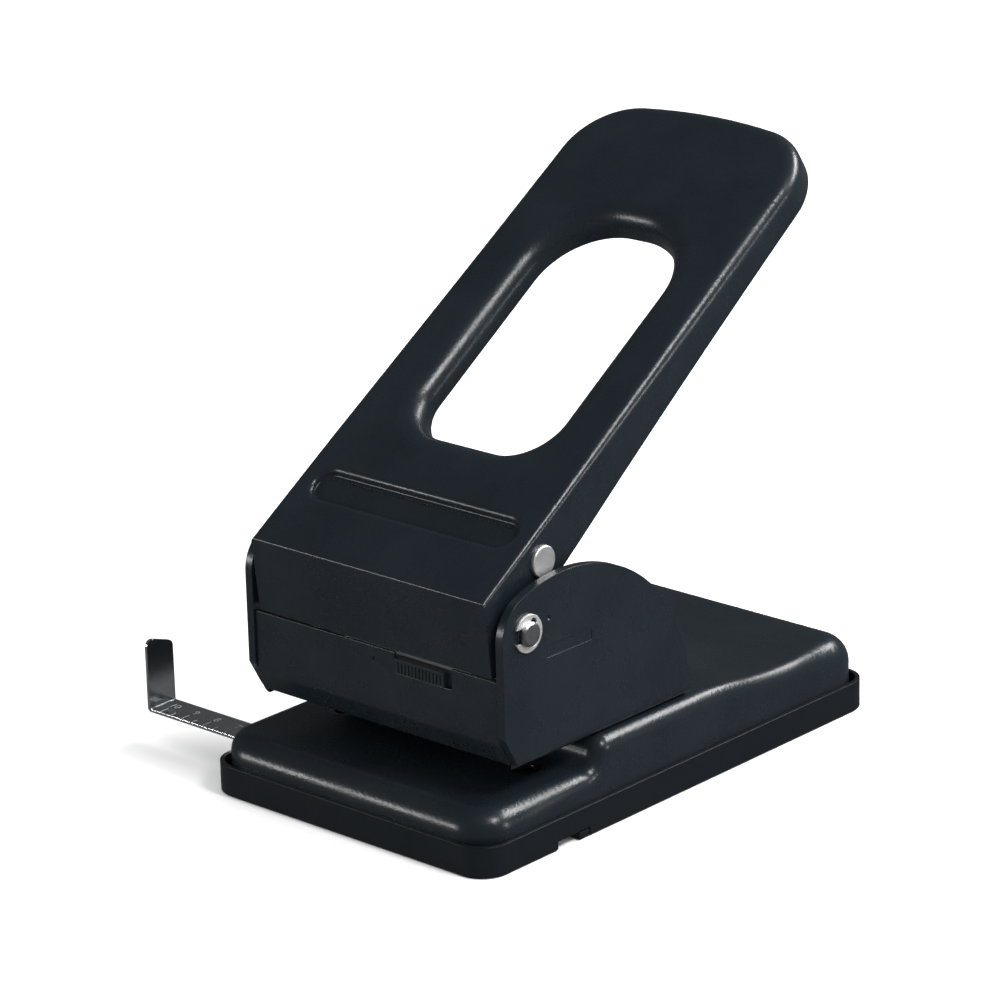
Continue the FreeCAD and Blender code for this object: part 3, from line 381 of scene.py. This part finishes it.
def makeFloor(look):
    bpy.ops.mesh.primitive_plane_add(size=look["floorSize"], location=(0, 0, 0))
    floor = named("paleFloor")
    material, tree, shader = startMaterial("paleFloor")
    shader.inputs["Base Color"].default_value = (*look["floorColour"], 1.0)
    shader.inputs["Roughness"].default_value = look["floorRough"]
    shader.inputs["Specular IOR Level"].default_value = 0.0
    paint(floor, material)
    floor.visible_glossy = False


lampLooks = {
    "topRight": {"place": (0.80, 0.00, 0.98), "aim": (0.0, 0.0, 0.08),
                 "size": (0.26, 0.30), "power": 10.0},
    "rearRight": {"place": (0.42, 0.88, 0.88), "aim": (0.0, 0.0, 0.03),
                  "size": (0.86, 0.24), "power": 18.0},
    "lowRight": {"place": (1.10, 0.48, 0.34), "aim": (0.0, 0.0, 0.12),
                 "size": (0.14, 0.20), "power": 2.5},
    "frontLeft": {"place": (-0.95, -1.15, 0.22), "aim": (0.0, -0.02, 0.06),
                  "size": (0.46, 0.14), "power": 6.5},
}


def softBox(name, look):
    place = Vector(look["place"])
    bpy.ops.object.light_add(type="AREA", location=place)
    lamp = bpy.context.object
    lamp.name = name
    lamp.rotation_euler = (Vector(look["aim"]) - place).to_track_quat("-Z", "Y").to_euler()
    lamp.data.shape = "RECTANGLE"
    lamp.data.size, lamp.data.size_y = look["size"]
    lamp.data.energy = look["power"]


airLook = {"open": 0.98, "mirrorHigh": 0.07, "mirrorLow": 0.13, "horizon": (-0.12, 0.10)}


def makeWorld(look):
    # an open pale room for light, and darker walls for what polished steel and enamel mirror
    world = bpy.data.worlds.new("studioAir")
    bpy.context.scene.world = world
    world.use_nodes = True
    tree = world.node_tree
    back = tree.nodes["Background"]
    back.inputs["Color"].default_value = (1.0, 1.0, 1.0, 1.0)
    place = addNode(tree, "ShaderNodeTexCoord")
    parts = addNode(tree, "ShaderNodeSeparateXYZ")
    tree.links.new(place.outputs["Generated"], parts.inputs["Vector"])
    walls = rangeOf(tree, parts.outputs["Z"], *look["horizon"], look["mirrorLow"], look["mirrorHigh"])
    rays = addNode(tree, "ShaderNodeLightPath")
    level = addNode(tree, "ShaderNodeMix", data_type="FLOAT")
    level.inputs["A"].default_value = look["open"]
    tree.links.new(rays.outputs["Is Glossy Ray"], level.inputs["Factor"])
    tree.links.new(walls, level.inputs["B"])
    tree.links.new(level.outputs["Result"], back.inputs["Strength"])


view = {"azimuth": 42.45, "elevation": 18.79, "roll": -1.43, "distance": 1.46222,
        "offset": (-0.0156, 0.08209), "lens": 157.74, "sensor": 36.0, "near": 0.05, "far": 50.0}


def makeCamera(look):
    turn = math.radians(look["azimuth"])
    rise = math.radians(look["elevation"])
    roll = math.radians(look["roll"])
    back = Vector((math.sin(turn) * math.cos(rise), -math.cos(turn) * math.cos(rise), math.sin(rise)))
    right = Vector((math.cos(turn), math.sin(turn), 0.0))
    up = back.cross(right)
    across = right * math.cos(roll) + up * math.sin(roll)
    upright = up * math.cos(roll) - right * math.sin(roll)
    eye = across * look["offset"][0] + upright * look["offset"][1] + back * look["distance"]
    bpy.ops.object.camera_add()
    camera = bpy.context.object
    camera.name = "studioCamera"
    stand = Matrix((across, upright, back)).transposed().to_4x4()
    stand.translation = eye
    camera.matrix_world = stand
    camera.data.sensor_width = look["sensor"]
    camera.data.lens = look["lens"]
    camera.data.clip_start = look["near"]
    camera.data.clip_end = look["far"]
    bpy.context.scene.camera = camera


clearSelection()
makeFloor(studio)
makeWorld(airLook)
for name, look in lampLooks.items():
    softBox(name, look)
makeCamera(view)
bpy.context.scene.view_settings.view_transform = "Standard"
print("floor, light and camera ready")
